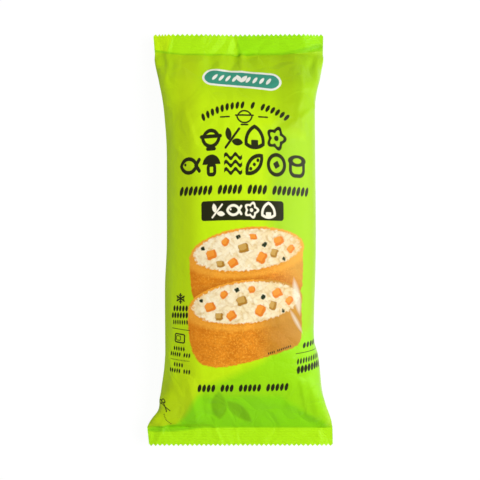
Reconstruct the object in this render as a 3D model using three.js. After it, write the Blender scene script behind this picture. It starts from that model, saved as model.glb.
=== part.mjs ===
// A pillow pack for frozen food: a tube of printed film, heat sealed flat across both ends,
// cut there with a zigzag knife, and closed along its back by a fin seam that lies folded
// flat. It lies on its back with the printed front up. Millimetres, +X across the pack,
// +Y towards its top end, +Z up, origin under the middle of the pack on the surface.
//
// The film is a grid of points. It starts as a loft of rounded sections between the two
// seals, and a relaxation then gives it the film's own flat size, so that it buckles into
// the facets, pinches and hollows of a film that bends easily and does not stretch.

import * as THREE from "three";

// ---- Driving dimensions ---------------------------------------------------------------

const PACK_LENGTH = 250; // over the tips of the teeth
const FLAT_WIDTH = 113.6; // the empty tube, pressed flat
const GIRTH = 2 * FLAT_WIDTH;
const FILM_LENGTH = 236; // of film between the seals, longer than the straight way
const THICKNESS = 41.2; // of the full pack
const SEAL_THICKNESS = 0.6; // front and back film fused
const TOP_SEAL_DEPTH = 12.2;
const BOTTOM_SEAL_DEPTH = 11.4;
const TEETH = 40; // across each end
const TOOTH_DEPTH = 1.3;
const TOOTH_ROOT = 0.4; // from the teeth's roots to the last straight row
const SEAL_HEIGHT = 15; // both seals float at about this height
const TOP_SLOPE = 1.05; // the front film's rise beside the top seal
const BOTTOM_SLOPE = 0.92;
const BACK_SLOPE = 0.7; // the back film's fall beside either seal
const SLOPE_ROUNDING = 9; // of the edge where a slope ends
const WAVE_REACH = 30; // the seals' waves die out over this length
const FIN_WIDTH = 11; // back seam, folded flat
const FIN_THICKNESS = 0.9;
const FIN_SLOPE = 9; // beside it the film takes this far to come down to the surface

// Half widths of the lying pack, left (-X) and right (+X), at stations along Y.
const LEFT_EDGE = [
  [-125, 55.4],
  [-113.6, 56.5],
  [-109.5, 54.6],
  [-103.5, 50.6],
  [-88, 47.6],
  [-70, 45.4],
  [-30, 45.6],
  [0, 44.4],
  [50, 44.4],
  [82, 46.6],
  [97, 49.4],
  [112.8, 51.9],
  [125, 52.8],
];
const RIGHT_EDGE = [
  [-125, 56.2],
  [-113.6, 56.0],
  [-104, 52.8],
  [-90, 49.6],
  [-70, 47.4],
  [-60, 44.4],
  [0, 45.8],
  [80, 45.2],
  [92, 46.8],
  [101, 49.2],
  [112.8, 50.2],
  [125, 50.4],
];

// Height of each seal's middle line above SEAL_HEIGHT, at stations along X: the top seal
// waves like a shallow M, the bottom one is nearly straight with its right corner turned.
const TOP_WAVE = [
  [-52, -5.0],
  [-42, 3.6],
  [-24, 3.0],
  [-2, -6.0],
  [18, 0.5],
  [38, 5.0],
  [50, -4.5],
];
const BOTTOM_WAVE = [
  [-56, -1.6],
  [-46, 0.6],
  [-12, 1.2],
  [0, -0.8],
  [20, 0.6],
  [46, 0.8],
  [56, -2.0],
];

// Hollows pressed into the front film before it relaxes: centre, half sizes and depth.
const HOLLOWS = [
  { x: -9, y: 104, across: 9, along: 10, depth: 3.5 },
  { x: 12, y: 106, across: 10, along: 8, depth: 2.5 },
  { x: -12, y: -100, across: 5, along: 9, depth: 2.6 },
  { x: 3, y: -103, across: 6, along: 7, depth: 2.2 },
  { x: 34, y: -103, across: 18, along: 7, depth: 2.4 },
  { x: -40, y: 78, across: 7, along: 9, depth: 2.0 },
  { x: 42, y: 72, across: 7, along: 12, depth: 2.0 },
];

// ---- Resolution and relaxation --------------------------------------------------------

const COLUMNS = 56; // around the film
const ROWS = 66; // of cells between the two seals
const LOOP_POINTS = 720; // of a section before it is spaced out evenly
const ROUNDS = 900;
const PULL_TO_LOFT = 0.015; // share of the way back to the loft in each round
const PULL_AT_SIDES = 0.12; // and along the two sides, which keep the outline
const SIDE_SHARPNESS = 16; // how closely that stronger pull keeps to the sides
const BENDING = 0.05;
const SHORTENING = 0.25; // how hard the film resists being shortened; 1 is as hard as stretch

// Exponents of the full section's two halves: 2 is an ellipse, more is fuller.
const FRONT_ROUNDNESS = 2.6;
const BACK_ROUNDNESS = 4.4;
const LEAST_FULLNESS = 0.3;
const FULLNESS_STEPS = 12; // of halving, to find how full a section the girth allows
const FULL_HOLLOW = 12; // where the pack is thinner than this, the hollows are shallower

// ---- Small helpers --------------------------------------------------------------------

const clamp = (value, low, high) => Math.min(high, Math.max(low, value));

const smooth = (t) => {
  const c = clamp(t, 0, 1);
  return c * c * (3 - 2 * c);
};

// The value at `at` on a smooth monotone curve through [place, value] stations.
function along(stations, at) {
  const last = stations.length - 1;
  if (at <= stations[0][0]) return stations[0][1];
  if (at >= stations[last][0]) return stations[last][1];
  const i = stations.findIndex(([place]) => place > at) - 1;
  const slope = (k) => {
    if (k < 0 || k >= last) return 0;
    return (stations[k + 1][1] - stations[k][1]) / (stations[k + 1][0] - stations[k][0]);
  };
  const tangent = (k) => {
    const [before, after] = [slope(k - 1), slope(k)];
    return before * after > 0 ? (2 * before * after) / (before + after) : 0;
  };
  const span = stations[i + 1][0] - stations[i][0];
  const t = (at - stations[i][0]) / span;
  const [a, b] = [stations[i][1], stations[i + 1][1]];
  const rise = t * t * (3 - 2 * t);
  const curl = t * (1 - t);
  return a + (b - a) * rise + span * curl * ((1 - t) * tangent(i) - t * tangent(i + 1));
}

// ---- The loft the film starts from ----------------------------------------------------

const SEAL_END = PACK_LENGTH / 2;
const TOP_JOIN = SEAL_END - TOP_SEAL_DEPTH; // where the top seal meets the open film
const BOTTOM_JOIN = -SEAL_END + BOTTOM_SEAL_DEPTH;

const fromSeal = (y) => Math.max(0, Math.min(TOP_JOIN - y, y - BOTTOM_JOIN));

// The lesser of two heights, with their corner rounded.
function lesser(a, b, rounding) {
  const near = Math.max(0, rounding - Math.abs(a - b)) / rounding;
  return Math.min(a, b) - (near * near * rounding) / 4;
}

// Heights of the front's and the back's middle line.
function heightsAt(y) {
  const slope = y > 0 ? TOP_SLOPE : BOTTOM_SLOPE;
  const rise = lesser(slope * fromSeal(y), THICKNESS - SEAL_HEIGHT, SLOPE_ROUNDING);
  const fall = lesser(BACK_SLOPE * fromSeal(y), SEAL_HEIGHT, SLOPE_ROUNDING);
  const half = SEAL_THICKNESS / 2;
  return { front: SEAL_HEIGHT + Math.max(half, rise), back: SEAL_HEIGHT - Math.max(half, fall) };
}

const waveAt = (x, y) =>
  along(y > 0 ? TOP_WAVE : BOTTOM_WAVE, x) * smooth(1 - fromSeal(y) / WAVE_REACH);

const hollowAt = (x, y) =>
  HOLLOWS.reduce((sum, h) => {
    const r2 = ((x - h.x) / h.across) ** 2 + ((y - h.y) / h.along) ** 2;
    return sum + h.depth * Math.exp(-r2);
  }, 0);

// A point of the section at y. The angle runs from the front middle over the right side,
// the back and the left side. A fuller section has a longer girth.
function sectionPoint(y, angle, fullness) {
  const { front, back } = heightsAt(y);
  const [s, c] = [Math.sin(angle), Math.cos(angle)];
  const power = 2 / (1 + ((c >= 0 ? FRONT_ROUNDNESS : BACK_ROUNDNESS) - 1) * fullness);
  const half = s >= 0 ? along(RIGHT_EDGE, y) : along(LEFT_EDGE, y);
  const x = half * Math.sign(s) * Math.pow(Math.abs(s), power);
  const rise = ((front - back) / 2) * Math.sign(c) * Math.pow(Math.abs(c), power);
  const pressed = c > 0 ? hollowAt(x, y) * smooth((front - back) / FULL_HOLLOW) * c : 0;
  return [x, (front + back) / 2 + waveAt(x, y) + rise - pressed];
}

const sectionLoop = (y, fullness) =>
  Array.from({ length: LOOP_POINTS + 1 }, (_, k) =>
    sectionPoint(y, (2 * Math.PI * k) / LOOP_POINTS, fullness),
  );

// How far along a loop each of its points is.
function runOf(loop) {
  const run = [0];
  for (let k = 1; k < loop.length; k++)
    run.push(run[k - 1] + Math.hypot(loop[k][0] - loop[k - 1][0], loop[k][1] - loop[k - 1][1]));
  return run;
}

// The section as full as the film's girth allows.
function fullLoop(y) {
  let [low, high] = [LEAST_FULLNESS, 1];
  if (runOf(sectionLoop(y, high))[LOOP_POINTS] <= GIRTH) return sectionLoop(y, high);
  for (let step = 0; step < FULLNESS_STEPS; step++) {
    const fullness = (low + high) / 2;
    if (runOf(sectionLoop(y, fullness))[LOOP_POINTS] > GIRTH) high = fullness;
    else low = fullness;
  }
  return sectionLoop(y, low);
}

// `count` points spaced evenly around the section at y, each [x, z].
function evenSection(y, count) {
  const loop = fullLoop(y);
  const run = runOf(loop);
  // The quarter points stay at the front, sides and back, so that columns run straight.
  const quarter = LOOP_POINTS / 4;
  const points = [];
  for (let i = 0; i < count; i++) {
    const place = (4 * i) / count;
    const q = Math.min(3, Math.floor(place));
    const want = run[q * quarter] + (place - q) * (run[(q + 1) * quarter] - run[q * quarter]);
    let k = q * quarter;
    while (k < LOOP_POINTS - 1 && run[k + 1] < want) k++;
    const t = (want - run[k]) / (run[k + 1] - run[k] || 1);
    points.push([
      loop[k][0] + t * (loop[k + 1][0] - loop[k][0]),
      loop[k][1] + t * (loop[k + 1][1] - loop[k][1]),
    ]);
  }
  return points;
}

// ---- Relaxing the film ----------------------------------------------------------------

// What the back lies on: the surface, and the folded seam under its middle.
const supportAt = (x) =>
  FIN_THICKNESS * smooth((FIN_SLOPE + FIN_WIDTH / 2 - Math.abs(x - FIN_WIDTH / 2)) / FIN_SLOPE);

const at = (row, column) => 3 * (row * COLUMNS + ((column + COLUMNS) % COLUMNS));

function loftedFilm() {
  const film = new Float64Array(3 * (ROWS + 1) * COLUMNS);
  for (let row = 0; row <= ROWS; row++) {
    const y = BOTTOM_JOIN + ((TOP_JOIN - BOTTOM_JOIN) * row) / ROWS;
    evenSection(y, COLUMNS).forEach(([x, z], column) => film.set([x, y, z], at(row, column)));
  }
  return film;
}

// Moves two points towards `length` apart. Film takes up shortening by creasing, so it
// resists that less than stretch.
function holdLength(film, a, b, length, moveA, moveB) {
  const dx = film[b] - film[a];
  const dy = film[b + 1] - film[a + 1];
  const dz = film[b + 2] - film[a + 2];
  const now = Math.hypot(dx, dy, dz);
  const stiffness = now > length ? 1 : SHORTENING;
  const share = (stiffness * (now - length)) / (now * (moveA + moveB));
  film[a] += dx * share * moveA;
  film[a + 1] += dy * share * moveA;
  film[a + 2] += dz * share * moveA;
  film[b] -= dx * share * moveB;
  film[b + 1] -= dy * share * moveB;
  film[b + 2] -= dz * share * moveB;
}

function relaxedFilm() {
  const film = loftedFilm();
  const loft = film.slice();
  const across = GIRTH / COLUMNS;
  const lengthwise = FILM_LENGTH / ROWS;
  const diagonal = Math.hypot(across, lengthwise);
  const free = (row) => (row === 0 || row === ROWS ? 0 : 1);
  const pulls = Array.from({ length: COLUMNS }, (_, column) => {
    const sideways = Math.abs(Math.sin((2 * Math.PI * column) / COLUMNS));
    return PULL_TO_LOFT + PULL_AT_SIDES * Math.pow(sideways, SIDE_SHARPNESS);
  });
  for (let round = 0; round < ROUNDS; round++) {
    for (let row = 1; row < ROWS; row++)
      for (let column = 0; column < COLUMNS; column++) {
        const p = at(row, column);
        const pull = pulls[column];
        const neighbours = [
          at(row - 1, column),
          at(row + 1, column),
          at(row, column - 1),
          at(row, column + 1),
        ];
        for (let k = 0; k < 3; k++) {
          const mean = neighbours.reduce((sum, n) => sum + film[n + k], 0) / 4;
          film[p + k] += BENDING * (mean - film[p + k]) + pull * (loft[p + k] - film[p + k]);
        }
      }
    for (let row = 0; row <= ROWS; row++)
      for (let column = 0; column < COLUMNS; column++) {
        const [a, f] = [at(row, column), free(row)];
        if (f) holdLength(film, a, at(row, column + 1), across, 1, 1);
        if (row === ROWS) continue;
        const g = free(row + 1);
        if (f + g === 0) continue;
        holdLength(film, a, at(row + 1, column), lengthwise, f, g);
        holdLength(film, a, at(row + 1, column + 1), diagonal, f, g);
        holdLength(film, a, at(row + 1, column - 1), diagonal, f, g);
      }
    for (let p = 0; p < film.length; p += 3)
      film[p + 2] = Math.max(supportAt(film[p]), film[p + 2]);
  }
  return film;
}

// ---- Rings, and the skin between them -------------------------------------------------

const SEAM_EXTRA = 3; // points that the seam's step adds to a ring

// A ring's points run from the front middle over the right side, the back and the left
// side. The seam is a step in the back: between its two edges the points lie lower. A ring
// also names its corners, which the skin joins to the next ring's.
function withSeam(points) {
  const count = points.length;
  const [right, back, left] = [count / 4, count / 2, (3 * count) / 4];
  const lowered = ([x, y, z]) => [x, y, z - FIN_THICKNESS];
  let edge = back;
  let run = 0;
  let step = 0;
  while (run < FIN_WIDTH) {
    const [p, q] = [points[edge], points[edge - 1]];
    step = Math.hypot(p[0] - q[0], p[1] - q[1], p[2] - q[2]);
    run += step;
    edge--;
  }
  const t = (run - FIN_WIDTH) / step;
  const seamEdge = points[edge].map((value, k) => value + t * (points[edge + 1][k] - value));
  const under = points.slice(edge + 1, back + 1).map(lowered);
  const ring = [
    ...points.slice(0, edge + 1),
    seamEdge,
    lowered(seamEdge),
    ...under,
    ...points.slice(back),
  ];
  const shift = ring.length - count;
  const corners = [0, right, edge + 1, edge + 2, back + 2, back + 3, left + shift, ring.length];
  return { ring, corners };
}

// Rings of the open film, from the bottom seal to the top one.
function filmRings() {
  const film = relaxedFilm();
  return Array.from({ length: ROWS + 1 }, (_, row) =>
    withSeam(
      Array.from({ length: COLUMNS }, (__, column) => {
        const p = at(row, column);
        return [film[p], film[p + 1], film[p + 2]];
      }),
    ),
  );
}

// A ring of a flat seal. Every other point stands out past y by `depth`, as the teeth do.
function sealRing(y, outwards, depth) {
  const points = evenSection(y, 4 * TEETH).map(([x, z], i) => {
    const tip = (i + TEETH) % 2 === 1;
    return [x, y + (tip ? outwards * depth : 0), z];
  });
  return withSeam(points);
}

// Triangles of the band between two chains of points, by the share of the way along each.
function zip(triangles, low, high) {
  let [i, j] = [0, 0];
  const [lowSteps, highSteps] = [low.length - 1, high.length - 1];
  while (i < lowSteps || j < highSteps) {
    const lowIsBehind = i < lowSteps && (i + 0.5) / lowSteps <= (j + 0.5) / highSteps;
    if (j === highSteps || lowIsBehind) {
      triangles.push(low[i], low[i + 1], high[j]);
      i++;
    } else {
      triangles.push(low[i], high[j + 1], high[j]);
      j++;
    }
  }
}

// The numbers of a ring's points from one corner to another.
const chain = ({ ring, start }, from, to) =>
  Array.from({ length: to - from + 1 }, (_, k) => start + ((from + k) % ring.length));

function skin() {
  const root = SEAL_END - TOOTH_DEPTH;
  const rings = [
    sealRing(-root, -1, TOOTH_DEPTH),
    sealRing(-root + TOOTH_ROOT, -1, 0),
    ...filmRings(),
    sealRing(root - TOOTH_ROOT, 1, 0),
    sealRing(root, 1, TOOTH_DEPTH),
  ];
  const positions = [];
  for (const made of rings) {
    made.start = positions.length / 3;
    made.ring.forEach((point) => positions.push(...point));
  }
  const triangles = [];
  for (let r = 0; r + 1 < rings.length; r++)
    for (let c = 0; c + 1 < rings[r].corners.length; c++) {
      const [low, high] = [rings[r], rings[r + 1]];
      zip(
        triangles,
        chain(low, low.corners[c], low.corners[c + 1]),
        chain(high, high.corners[c], high.corners[c + 1]),
      );
    }
  closeEnd(triangles, rings[0], false);
  closeEnd(triangles, rings[rings.length - 1], true);
  return { positions, triangles };
}

// Closes an end ring with bands between its front and its back, split where the seam's
// step is, so that each tooth of the front meets the same tooth of the back.
function closeEnd(triangles, made, atTop) {
  const [, right, edge, , , back, left, end] = made.corners;
  const covered = back - edge - SEAM_EXTRA + 1; // front points over the seam
  const bands = [];
  zip(bands, chain(made, left, end), chain(made, back, left).reverse());
  zip(bands, chain(made, 0, covered), chain(made, edge, back).reverse());
  zip(bands, chain(made, covered, right), chain(made, right, edge).reverse());
  for (let k = 0; k < bands.length; k += 3) {
    const [p, q, r] = bands.slice(k, k + 3);
    if (p === q || q === r || p === r) continue;
    triangles.push(...(atTop ? [p, q, r] : [p, r, q]));
  }
}

const { positions, triangles } = skin();
const geometry = new THREE.BufferGeometry();
geometry.setAttribute("position", new THREE.Float32BufferAttribute(positions, 3));
geometry.setIndex(triangles);
geometry.computeVertexNormals();
geometry.computeBoundingBox();
const { min, max } = geometry.boundingBox;
geometry.translate(-(min.x + max.x) / 2, -(min.y + max.y) / 2, -min.z);

const film = new THREE.MeshStandardMaterial({ color: 0xb0e010, roughness: 0.38, metalness: 0 });
const pouch = new THREE.Mesh(geometry, film);
pouch.name = "pouch";
const pack = new THREE.Group();
pack.add(pouch);

export default pack;
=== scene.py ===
"""A pillow pack of frozen food, lying on its back: the look of its film and its print.

The film is a grid of points that follows the CAD solid's skin. It is relaxed to the film's
own flat size, which buckles it as thin film buckles, and then folds are pressed into it.
The print is drawn by the material's nodes in film coordinates: u runs across the film from
the middle of the front, to the right and round to the middle of the back, and v runs along
it from the middle of the pack towards its top end. The nodes also paint painted shade and
painted light on the film's slopes, edges and creases, and painted highlight streaks, into
its colour. Sizes are in millimetres.
"""
import math
from functools import cached_property, reduce

import bpy
import numpy as np
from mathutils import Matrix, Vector


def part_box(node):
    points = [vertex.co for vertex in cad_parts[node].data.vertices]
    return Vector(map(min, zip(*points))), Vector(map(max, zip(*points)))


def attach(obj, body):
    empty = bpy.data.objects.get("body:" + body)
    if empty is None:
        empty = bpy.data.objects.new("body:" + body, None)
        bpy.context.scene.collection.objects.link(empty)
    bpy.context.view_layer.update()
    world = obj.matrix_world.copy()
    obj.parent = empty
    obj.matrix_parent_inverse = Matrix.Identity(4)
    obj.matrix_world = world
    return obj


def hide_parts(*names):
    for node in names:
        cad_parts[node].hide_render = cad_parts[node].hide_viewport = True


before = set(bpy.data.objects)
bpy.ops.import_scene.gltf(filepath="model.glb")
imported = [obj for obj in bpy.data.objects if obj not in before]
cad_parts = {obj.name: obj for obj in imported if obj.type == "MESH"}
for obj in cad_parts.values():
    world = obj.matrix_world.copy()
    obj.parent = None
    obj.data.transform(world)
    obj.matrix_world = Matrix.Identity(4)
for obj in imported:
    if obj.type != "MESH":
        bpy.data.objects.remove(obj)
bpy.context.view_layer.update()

# ---- Sizes ----

MM = 0.001
SEAL_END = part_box("pouch")[1][1] / MM  # the pack's middle is at y = 0
TOP_SEAL_DEPTH = 12.2
BOTTOM_SEAL_DEPTH = 11.4
TOP_JOIN = SEAL_END - TOP_SEAL_DEPTH  # where a seal meets the open film
BOTTOM_JOIN = -SEAL_END + BOTTOM_SEAL_DEPTH
GIRTH = 2 * 113.6  # of the tube of film
FILM_LENGTH = 236.0  # between the seals
JOIN = FILM_LENGTH / 2  # how far from the film's middle each seal begins
TEETH = 40  # across each end
TOOTH_DEPTH = 1.3
SEAM_WIDTH = 11.0  # of the back seam, folded flat
SEAM_STEP = 0.9  # its thickness in the solid

COLUMNS = 320  # of points around the film, 4 for each tooth
ROWS = 196  # of cells between the seals
PITCH = GIRTH / COLUMNS
BEHIND = (COLUMNS // 2 - np.arange(COLUMNS)) % COLUMNS  # the column behind each column


def smooth(share):
    share = np.clip(share, 0, 1)
    return share * share * (3 - 2 * share)


# ---- The solid's sections ----

UPRIGHT = 0.02  # mm: an edge that goes less than this aside counts as straight up
SLICES = 240  # of the solid, between the seals
JOIN_GAP = 0.01  # kept from a row of the solid's own points
EDGE_REACH = 30.0  # from a seal, over which the tube's folded edges open out
FRONT_MIDDLES = (0.4, -1.2)  # x of the printed front's middle, at the bottom and top seals


def solid_mesh(name):
    """Merged vertices and triangles of a CAD node."""
    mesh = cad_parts[name].data
    places = np.array([vertex.co[:] for vertex in mesh.vertices]) / MM
    _, first, merged = np.unique(
        np.round(places, 4), axis=0, return_index=True, return_inverse=True
    )
    mesh.calc_loop_triangles()
    corners = np.array([triangle.vertices[:] for triangle in mesh.loop_triangles])
    return places[first], merged.reshape(-1)[corners]


SOLID = solid_mesh("pouch")


def in_order(pairs):
    """What the pairs join, in the order in which they form one closed line."""
    neighbours = {}
    for a, b in pairs:
        neighbours.setdefault(a, []).append(b)
        neighbours.setdefault(b, []).append(a)
    start = next(iter(neighbours))
    chain, before, here = [], None, start
    while True:
        chain.append(here)
        one, other = neighbours[here]
        before, here = here, (other if one == before else one)
        if here == start:
            return chain


def section(y):
    """The closed line, an array of [x, z], in which the plane at y cuts the solid."""
    places, triangles = SOLID
    above = places[:, 1] > y
    crossing = triangles[np.ptp(above[triangles].astype(int), axis=1) == 1]
    cut_edges = [
        [(min(p, q), max(p, q)) for p, q in zip(t, t[1:] + t[:1]) if above[p] != above[q]]
        for t in crossing.tolist()
    ]
    line = in_order(cut_edges)
    low, high = places[[edge[0] for edge in line]], places[[edge[1] for edge in line]]
    share = ((y - low[:, 1]) / (high[:, 1] - low[:, 1]))[:, None]
    return (low + share * (high - low))[:, [0, 2]]


def without_seam(line):
    """The section with the back seam's step taken out, turning right from its top."""
    after = np.roll(line, -1, axis=0)
    if np.sum(line[:, 0] * after[:, 1] - line[:, 1] * after[:, 0]) > 0:
        line = line[::-1]
    # Points halfway up a wall of the step are dropped, so that each wall is one edge.
    ahead = np.roll(line, -1, axis=0) - line
    upright = abs(ahead[:, 0]) < UPRIGHT
    line = line[~(upright & np.roll(upright, 1))]
    ahead = np.roll(line, -1, axis=0) - line
    walls = (abs(ahead[:, 0]) < UPRIGHT) & (abs(abs(ahead[:, 1]) - SEAM_STEP) < UPRIGHT)
    walls &= abs(line[:, 0]) < 2 * SEAM_WIDTH
    down, up = sorted(np.flatnonzero(walls), key=lambda i: ahead[i, 1])
    count = len(line)
    seam = np.arange(down + 1, up + 1 + (count if up < down else 0)) % count
    lifted = line.copy()
    lifted[seam, 1] += SEAM_STEP
    return np.delete(lifted, [(down + 1) % count, up], axis=0)


def front_loop(y):
    """The section at y from the middle of the printed front round to it again."""
    last = SEAL_END - TOOTH_DEPTH - JOIN_GAP
    line = without_seam(section(np.clip(y, -last, last)))
    middle = np.interp(y, [BOTTOM_JOIN, TOP_JOIN], FRONT_MIDDLES)
    ahead = np.roll(line, -1, axis=0)
    over = np.flatnonzero((line[:, 0] <= middle) & (ahead[:, 0] > middle))
    i = over[np.argmax(line[over, 1])]
    share = (middle - line[i, 0]) / (ahead[i, 0] - line[i, 0])
    top = line[i] + share * (ahead[i] - line[i])
    return np.vstack([top, np.roll(line, -(i + 1), axis=0), top])


def sealed_columns(loop, run):
    """How far round a seal's loop each column lies.

    A quarter of them lies between the front's middle and each folded edge of the tube, and
    a column of the back lies behind one of the front, so that the teeth of both films meet.
    """
    right, left = np.argmax(loop[:, 0]), np.argmin(loop[:, 0])
    corners = [0, run[right], run[left], run[-1]]
    sealed = np.interp(np.arange(COLUMNS), np.array([0, 0.25, 0.75, 1]) * COLUMNS, corners)
    back = slice(COLUMNS // 4, 3 * COLUMNS // 4)
    front_x = np.interp(sealed[BEHIND[back]], run, loop[:, 0])
    sealed[back] = np.interp(-front_x, -loop[right:left + 1, 0], run[right:left + 1])
    return sealed


def run_along(line):
    """How far along the line each of its points lies."""
    return np.concatenate([[0], np.cumsum(np.linalg.norm(np.diff(line, axis=0), axis=1))])


def points_at(line, run, want):
    """The points that lie so far along the line."""
    return np.column_stack([np.interp(want, run, part) for part in line.T])


def even_section(y):
    """COLUMNS points round the section at y from the front's middle, turning right.

    In the open body they are evenly spaced. Towards a seal they shift to its columns.
    """
    loop = front_loop(y)
    run = run_along(loop)
    sealed = sealed_columns(loop, run)
    openness = smooth(min(TOP_JOIN - y, y - BOTTOM_JOIN) / EDGE_REACH)
    want = sealed + openness * (run[-1] * np.arange(COLUMNS) / COLUMNS - sealed)
    return np.insert(points_at(loop, run, want), 1, y, axis=1)


def solid_film():
    """The solid's skin between the seals, as film[row, column] with rows evenly spaced."""
    slices = np.linspace(BOTTOM_JOIN + JOIN_GAP, TOP_JOIN - JOIN_GAP, SLICES)
    columns = []
    for line in np.stack([even_section(y) for y in slices], axis=1):
        run = run_along(line)
        columns.append(points_at(line, run, np.linspace(0, run[-1], ROWS + 1)))
    return np.stack(columns, axis=1)


# ---- Relaxing the film ----

COARSE = 4  # the relaxation works on every fourth row and column
ROUNDS = 400
GAIN = 0.4  # of an error in length, what one step takes away at each end
SHORTENING = 0.3  # how hard the film resists being shortened; 1 is as hard as stretch
BENDING = 0.02  # how far a point goes towards the mean of its neighbours in a round
PULL_TO_SOLID = 0.008  # how far it goes back towards where it started
SOFTENING = 12  # rounds that smooth the coarse buckles
SEAM_SLOPE = 9.0  # beside the back seam the film takes this far to come down


def tug(a, b, length):
    """How far each point of a moves towards its partner in b, to be `length` apart."""
    apart = b - a
    now = np.linalg.norm(apart, axis=-1, keepdims=True)
    gain = np.where(now > length, GAIN, GAIN * SHORTENING)
    return gain * (now - length) / now * apart


def floor_under(x):
    """The surface, and over the back seam its thickness, with a slope to either side."""
    near = SEAM_SLOPE + SEAM_WIDTH / 2 - abs(x - SEAM_WIDTH / 2)
    return SEAM_STEP * smooth(near / SEAM_SLOPE)


def neighbour_mean(film):
    """For each point that isn't on an end, the mean of its four neighbours."""
    around = np.roll(film, 1, axis=1) + np.roll(film, -1, axis=1)
    return (around[1:-1] + film[2:] + film[:-2]) / 4


def relaxed(start):
    """The film with its own flat size, pulled lightly towards where it starts."""
    width, length = GIRTH / start.shape[1], FILM_LENGTH / (start.shape[0] - 1)
    diagonal = math.hypot(width, length)
    film = start.copy()
    for _ in range(ROUNDS):
        film[1:-1] += BENDING * (neighbour_mean(film) - film[1:-1])
        film[1:-1] += PULL_TO_SOLID * (start[1:-1] - film[1:-1])
        move = tug(film, np.roll(film, -1, axis=1), width)
        film += move - np.roll(move, 1, axis=1)
        move = tug(film[:-1], film[1:], length)
        film[:-1] += move
        film[1:] -= move
        for lean in (1, -1):
            move = tug(film[:-1], np.roll(film[1:], -lean, axis=1), diagonal)
            film[:-1] += move
            film[1:] -= np.roll(move, lean, axis=1)
        film[[0, -1]] = start[[0, -1]]
        film[..., 2] = np.maximum(film[..., 2], floor_under(film[..., 0]))
    return film


def softened(film, rounds):
    """The film with its small dents and ridges smoothed away."""
    film = film.copy()
    for _ in range(rounds):
        film[1:-1] = (film[1:-1] + neighbour_mean(film)) / 2
    return film


def between(rows, at):
    """New rows at these places among the given ones."""
    k = np.minimum(at.astype(int), len(rows) - 2)
    share = (at - k)[:, None, None]
    return rows[k] * (1 - share) + rows[k + 1] * share


def finer(grid, rows, columns):
    """A closed grid with each of its cells split evenly."""
    closed = np.concatenate([grid, grid[:, :1]], axis=1).swapaxes(0, 1)
    wide = between(closed, np.linspace(0, grid.shape[1], columns, endpoint=False))
    return between(wide.swapaxes(0, 1), np.linspace(0, len(grid) - 1, rows))


def row_ends(film):
    """The least and the greatest x of each row."""
    x = film[..., 0]
    return x.min(axis=1, keepdims=True), x.max(axis=1, keepdims=True)


def as_wide(film, model):
    """The film with each of its rows fitted to the ends of the model's row."""
    (low, high), (want_low, want_high) = row_ends(film), row_ends(model)
    fitted = film.copy()
    fitted[..., 0] = want_low + (film[..., 0] - low) * (want_high - want_low) / (high - low)
    return fitted


DOG_EAR_Y = -104.0  # where the film is pulled in above the bottom left corner
DOG_EAR_REACH = 9.0  # up and down from there
DOG_EAR_PULL = 2.2
DOG_EAR_X = (-30.0, -45.0)  # where the pull begins and where it is whole


def dog_eared(film):
    """The film pulled in above its bottom left corner, which is left standing out."""
    start, whole = DOG_EAR_X
    along = smooth(1 - abs(film[..., 1] - DOG_EAR_Y) / DOG_EAR_REACH)
    pulled = film.copy()
    pulled[..., 0] += DOG_EAR_PULL * along * smooth((film[..., 0] - start) / (whole - start))
    return pulled


def buckled(film):
    """The film relaxed, and still as wide as it was, so that its outline stays."""
    coarse = film[::COARSE, ::COARSE]
    shift = relaxed(coarse) - coarse
    soft = softened(film + finer(shift, ROWS + 1, COLUMNS), SOFTENING)
    return dog_eared(as_wide(soft, film))


# ---- Folds ----

# Folds pressed into the front and the seals: where each begins and ends,
# (x, y), how high its ridge stands (a valley is negative), and how wide its slopes are on its
# -x and +x sides.
FOLDS = [
    # below the top seal
    ((-45, 114), (-34, 84), 0.4, 8, 9),
    ((-33, 84), (-31, 52), 0.8, 12, 10),
    ((-20, 115), (-15, 100), -0.5, 4, 4),
    ((-13, 115), (-9, 102), 0.4, 4, 3),
    ((-1, 116), (-7, 99), -0.6, 3, 3),
    ((1, 116), (1, 98), 0.4, 3, 3),
    ((2, 116), (10, 100), -0.5, 3, 6),
    ((32, 115), (38, 86), 0.9, 8, 6),
    ((38, 90), (34, 56), 0.7, 8, 6),
    ((46, 84), (33, 68), 0.8, 4, 6),
    ((-45, 79), (-40, 71), -0.5, 3, 2),
    # above the bottom seal
    ((-31, -80), (-25, -113), 1.2, 9, 5),
    ((-40, -86), (-33, -96), 0.5, 3, 3),
    ((-17, -94), (-17, -110), -0.5, 3, 4),
    ((-8, -98), (5, -111), -0.5, 3, 4),
    ((26, -96), (55, -113), 0.8, 4, 6),
    ((17, -104), (20, -108), -0.4, 1.5, 1.5),
    ((-49, -103), (-54, -112), 0.8, 3, 4),
    ((40, -81), (49, -110), 0.8, 7, 5),
    ((-47, -113), (-28, -113.4), -0.5, 1.5, 1.5),
    # creases, steep on one side or both
    ((48, 83), (34.5, 71.5), 0.7, 1.8, 1.8),
    ((35.2, 75), (39.8, 58), 0.6, 1.8, 3),
    ((36.5, 111), (37.8, 87), 0.5, 3, 1.8),
    ((37.8, 91), (32.5, 66), 0.5, 3, 1.8),
    ((-33, 79), (-24.5, 54), 0.8, 6, 1.8),
    ((-40, 55.5), (-22, 55.5), -0.5, 1.8, 1.8),
    ((-39, 57), (-24, 39), 0.5, 4, 1.8),
    ((35.5, -81), (41, -108), 0.6, 1.8, 3),
    ((-44, -64), (-38, -86), 0.5, 4, 1.8),
    # across the seals
    ((-40, 128), (-45, 110), 0.4, 3, 2),
    ((-5, 128), (0, 110), -0.8, 5, 1.5),
    ((38, 128), (40, 110), 0.3, 4, 3),
    ((30, 111), (52, 118), -0.4, 3, 2),
    ((-45, -110), (-53, -128), 0.5, 3, 2),
    ((-17, -110), (-9, -128), 0.4, 3, 2),
    ((-2, -110), (-2, -128), 0.25, 2, 2),
    ((47, -110), (49, -128), 0.3, 3, 2),
]
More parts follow.
